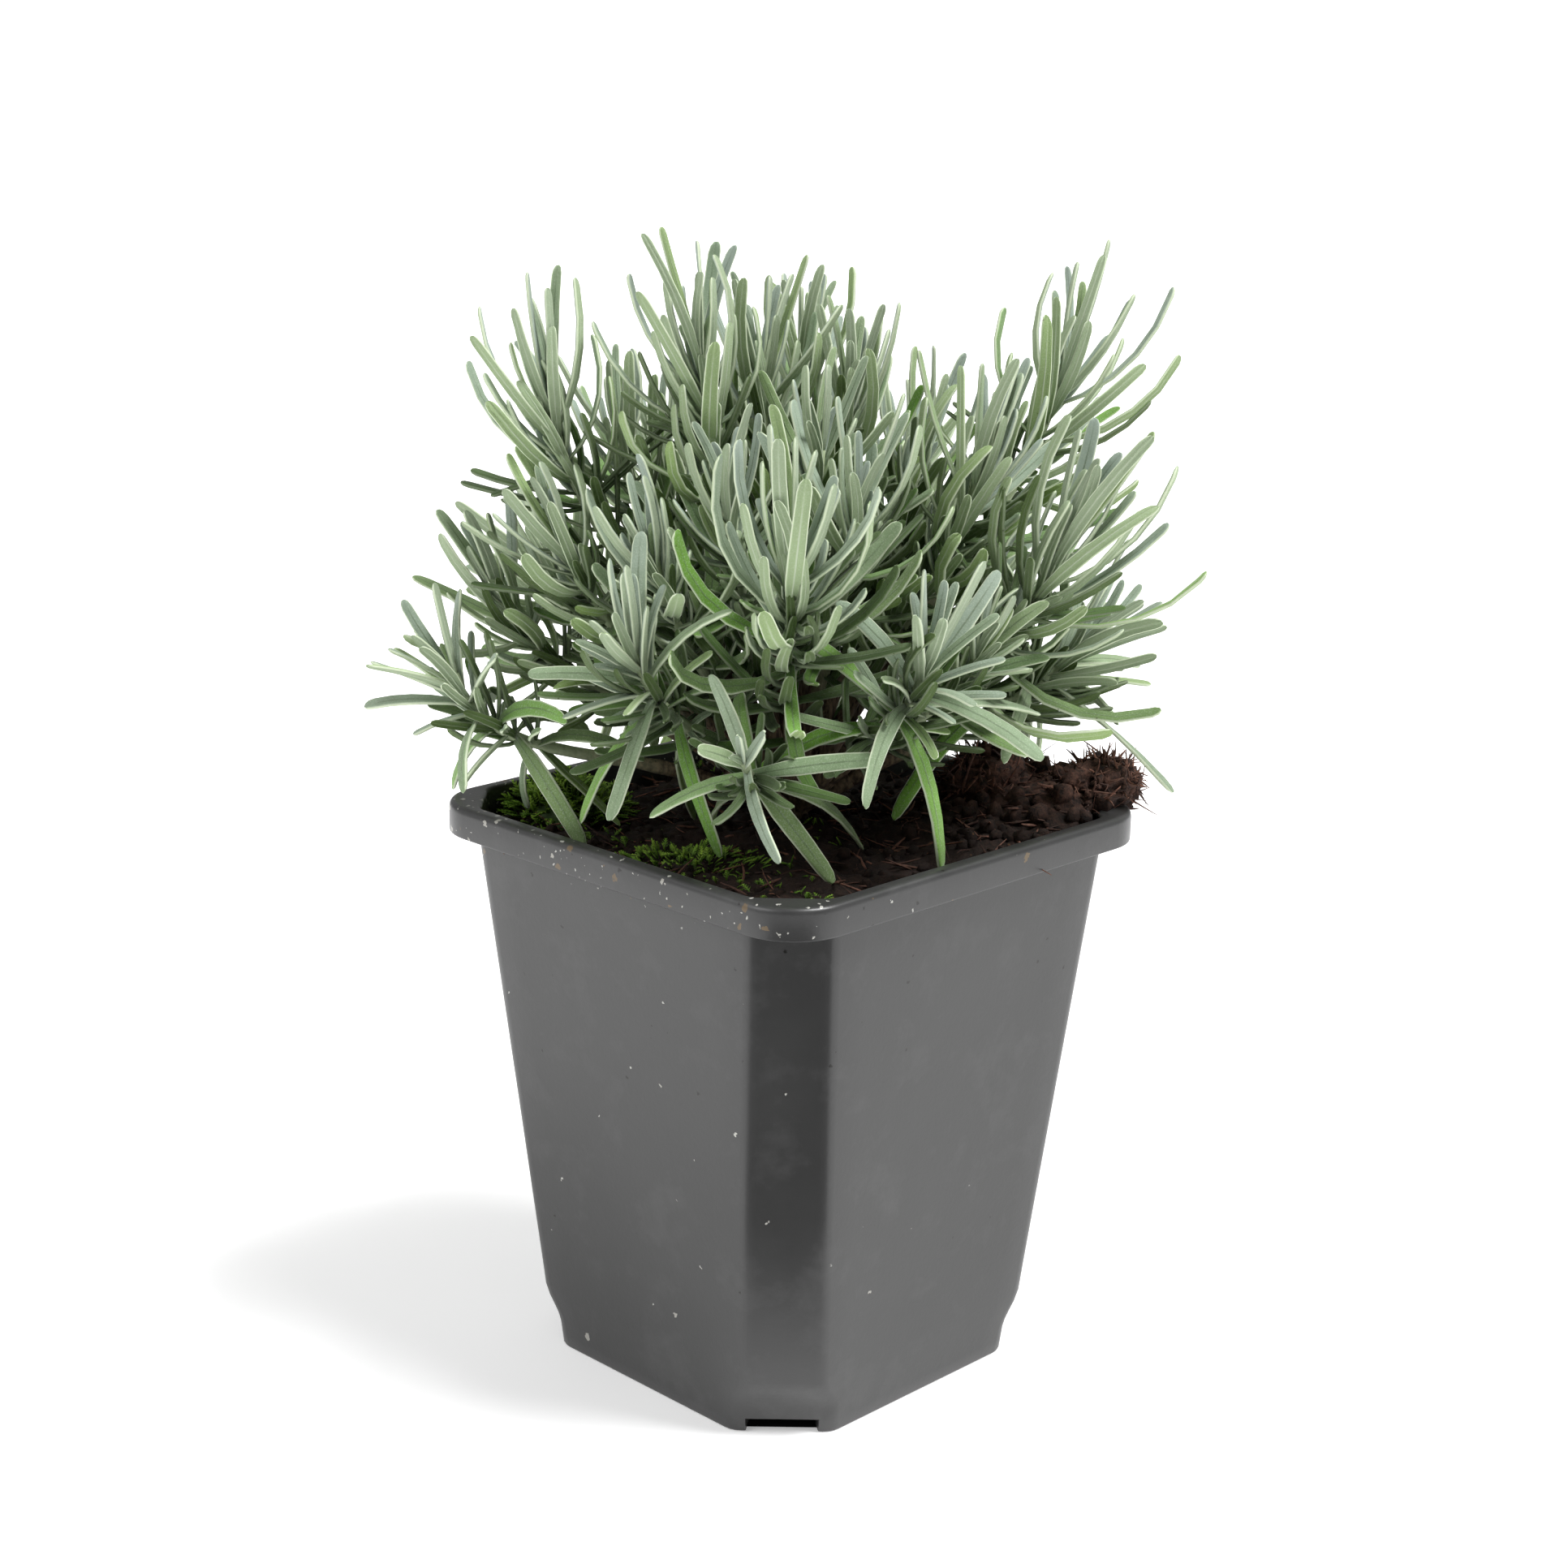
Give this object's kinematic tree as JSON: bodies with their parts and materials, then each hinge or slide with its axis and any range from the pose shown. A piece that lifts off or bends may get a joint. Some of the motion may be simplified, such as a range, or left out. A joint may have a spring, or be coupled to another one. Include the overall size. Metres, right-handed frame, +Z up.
{
  "type": "potted lavender",
  "caption": "Bushy young lavender with grey-green needle-like leaves on fanned shoots, in a square dark grey plastic nursery pot filled with peat.",
  "frame": {"origin": "centre of the pot's flat base, on the surface it stands on", "axes": "+Z up along the pot's centre line; +X and +Y square to the pot's walls; the pot's front corner points to +X -Y"},
  "size_m": [0.1306, 0.1423, 0.1983],
  "materials": {
    "pot_plastic": "semi-gloss injection-moulded dark grey polypropylene with lime spots and peat smudges",
    "peat": "moist dark brown peat with crumbs and brown fibres",
    "moss": "feathery bright green moss",
    "stem_wood": "grey-brown young bark, greener towards the shoot tips",
    "leaf_felt": "grey-green leaves with short white felt, paler rolled margins and a sunken midrib"
  },
  "bodies": {
    "root": {"nursery_pot": "pot_plastic", "peat_plug": "peat", "peat_clod_right": "peat", "peat_clod_inner": "peat", "moss_tuft_left": "moss", "moss_tuft_front": "moss", "woody_crown": "stem_wood", "shoot_back": "leaf_felt", "shoot_back_left": "leaf_felt", "shoot_back_left_low": "leaf_felt", "shoot_back_left_top": "leaf_felt", "shoot_back_low": "leaf_felt", "shoot_back_right": "leaf_felt", "shoot_back_right_low": "leaf_felt", "shoot_back_right_top": "leaf_felt", "shoot_back_top": "leaf_felt", "shoot_centre_front": "leaf_felt", "shoot_centre_right": "leaf_felt", "shoot_centre_top": "leaf_felt", "shoot_front_left": "leaf_felt", "shoot_front_low": "leaf_felt", "shoot_front_right": "leaf_felt", "shoot_front_star": "leaf_felt", "shoot_left_front_inner": "leaf_felt", "shoot_left_inner": "leaf_felt", "shoot_left_low": "leaf_felt", "shoot_left_middle": "leaf_felt", "shoot_right_big": "leaf_felt", "shoot_right_centre": "leaf_felt", "shoot_right_inner": "leaf_felt", "shoot_right_low": "leaf_felt", "shoot_right_upper": "leaf_felt", "shoot_top_centre": "leaf_felt", "shoot_top_left": "leaf_felt", "shoot_top_left_inner": "leaf_felt", "shoot_top_middle": "leaf_felt", "shoot_top_middle_back": "leaf_felt", "shoot_top_middle_right": "leaf_felt", "shoot_top_right": "leaf_felt"}
  },
  "joints": []
}
